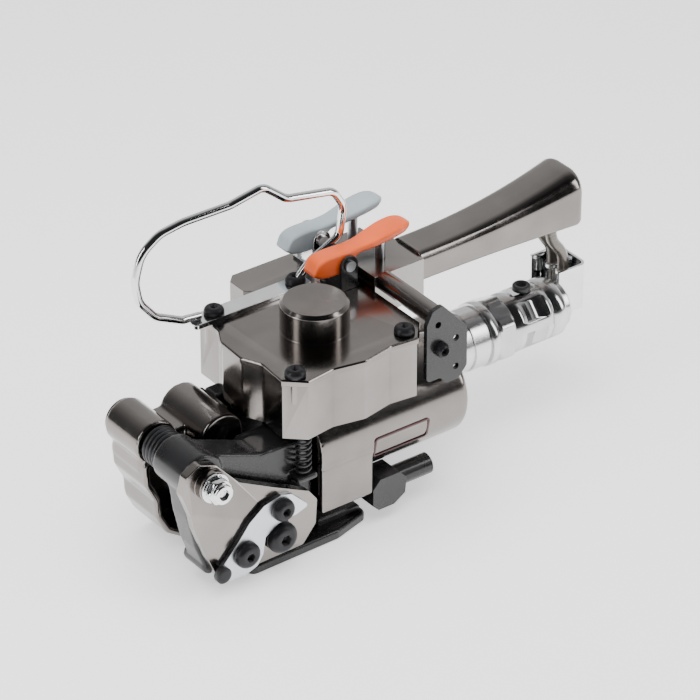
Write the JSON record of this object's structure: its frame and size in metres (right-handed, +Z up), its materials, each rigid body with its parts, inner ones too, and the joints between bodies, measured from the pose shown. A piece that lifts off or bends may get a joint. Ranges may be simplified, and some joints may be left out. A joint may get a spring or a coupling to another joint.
{
  "type": "strapping tensioner",
  "caption": "Air-driven hand tool that tensions and welds plastic strap, with a gear case, feed wheel rocker, air motor, thumb levers, handle and wire hanger.",
  "frame": {"origin": "on the underside of the base plate, straight below the centre of the round boss on the top cover", "axes": "+X from the front pivot to the back of the handle, +Z up, feed wheel side faces -Y"},
  "size_m": [0.3339, 0.1321, 0.1934],
  "materials": {
    "gunmetal": "smoked satin metallic coating",
    "black_steel": "black coated casting",
    "black_oxide": "black oxide screws",
    "chrome": "polished chrome plate",
    "bright_steel": "ground bright steel",
    "turned_alloy": "turned bright alloy",
    "orange_plastic": "moulded, satin",
    "grey_plastic": "moulded, satin",
    "spring_steel": "drawn wire",
    "hose_sheath": "smoked sheath over braid",
    "brass": "turned",
    "gear_steel": "machined"
  },
  "bodies": {
    "root": {"base_plate": "black_steel", "base_pad": "black_steel", "base_gripper": "bright_steel", "side_frame": "black_steel", "front_housing": "gunmetal", "pivot_end_cap": "gunmetal", "pivot_bolt": "chrome", "pivot_washer": "chrome", "rocker_spring": "spring_steel", "gear_case": "gunmetal", "top_cover": "gunmetal", "cover_screws": "black_oxide", "hanger": "chrome", "vibration_bearing": "gear_steel", "valve_block": "gunmetal", "tension_lever_bracket": "black_steel", "tension_lever_pin": "bright_steel", "weld_lever_bracket": "chrome", "weld_lever_pin": "bright_steel", "handle": "gunmetal", "air_inlet": "brass", "side_bracket": "black_steel", "tie_tube": "gunmetal", "bracket_screw": "black_oxide", "handle_fittings": "chrome", "near_hose": "hose_sheath", "far_hose": "hose_sheath", "return_spring": "spring_steel"},
    "rocker": {"rocker_arm": "black_steel", "rocker_plate": "gunmetal", "guide_plate": "bright_steel", "guide_screws": "black_oxide", "guide_pin": "black_oxide", "drive_housing": "gunmetal", "label_plate": "gunmetal", "motor_sleeve": "turned_alloy", "motor_nut": "turned_alloy", "motor_body": "turned_alloy", "motor_end_cap": "turned_alloy", "motor_plug": "black_oxide", "hose_bracket": "chrome", "hose_fittings": "chrome", "rear_guide": "black_steel"},
    "feed_roll": {"feed_wheel": "gear_steel", "feed_shaft": "black_oxide"},
    "drive_train": {"drive_shaft": "gear_steel", "drive_gear": "gear_steel"},
    "rotor": {"motor_rotor": "gear_steel", "motor_pinion": "gear_steel"},
    "vibrator": {"vibration_shaft": "gear_steel", "vibration_weight": "gear_steel"},
    "tension_thumb": {"tension_lever": "orange_plastic"},
    "weld_thumb": {"weld_lever": "grey_plastic"},
    "tension_valve": {"tension_plunger": "bright_steel"},
    "weld_valve": {"weld_plunger": "bright_steel"}
  },
  "joints": [
    {"name": "rocker_squeeze", "type": "hinge", "parent": "root", "child": "rocker", "pos_m": [-0.104, 0, 0.076], "axis": [0, -1, 0], "range_deg": [0, 3], "stiffness_Nm_per_rad": 4, "springref_deg": -17.19, "deforming": ["near_hose", "far_hose", "return_spring"]},
    {"name": "motor_spin", "type": "hinge", "parent": "rocker", "child": "rotor", "pos_m": [0.1, 0.015, 0.058], "axis": [1, 0, 0], "continuous": true},
    {"name": "drive_spin", "type": "hinge", "parent": "rocker", "child": "drive_train", "pos_m": [0, -0.011, 0.058], "axis": [1, 0, 0], "continuous": true},
    {"name": "feed_spin", "type": "hinge", "parent": "rocker", "child": "feed_roll", "pos_m": [-0.057, -0.03, 0.0225], "axis": [0, 1, 0], "continuous": true},
    {"name": "vibrator_spin", "type": "hinge", "parent": "root", "child": "vibrator", "pos_m": [0, 0, 0.12], "axis": [0, 0, 1], "continuous": true},
    {"name": "tension_press", "type": "hinge", "parent": "root", "child": "tension_thumb", "pos_m": [0.04, 0.029, 0.134], "axis": [0, 1, 0], "range_deg": [0, 5], "stiffness_Nm_per_rad": 0.4, "springref_deg": -8.59},
    {"name": "weld_press", "type": "hinge", "parent": "root", "child": "weld_thumb", "pos_m": [0.044, 0.061, 0.134], "axis": [0, 1, 0], "range_deg": [0, 5], "stiffness_Nm_per_rad": 0.4, "springref_deg": -8.59},
    {"name": "tension_plunge", "type": "slide", "parent": "root", "child": "tension_valve", "axis": [0, 0, -1], "range_m": [0, 0.0026]},
    {"name": "weld_plunge", "type": "slide", "parent": "root", "child": "weld_valve", "axis": [0, 0, -1], "range_m": [0, 0.0026]}
  ],
  "couplings": [
    {"joint": "drive_spin", "follows": "motor_spin", "ratio": -0.48571},
    {"joint": "feed_spin", "follows": "motor_spin", "ratio": 0.24286},
    {"joint": "tension_plunge", "follows": "tension_press", "m_per_rad": 0.028},
    {"joint": "weld_plunge", "follows": "weld_press", "m_per_rad": 0.028}
  ]
}
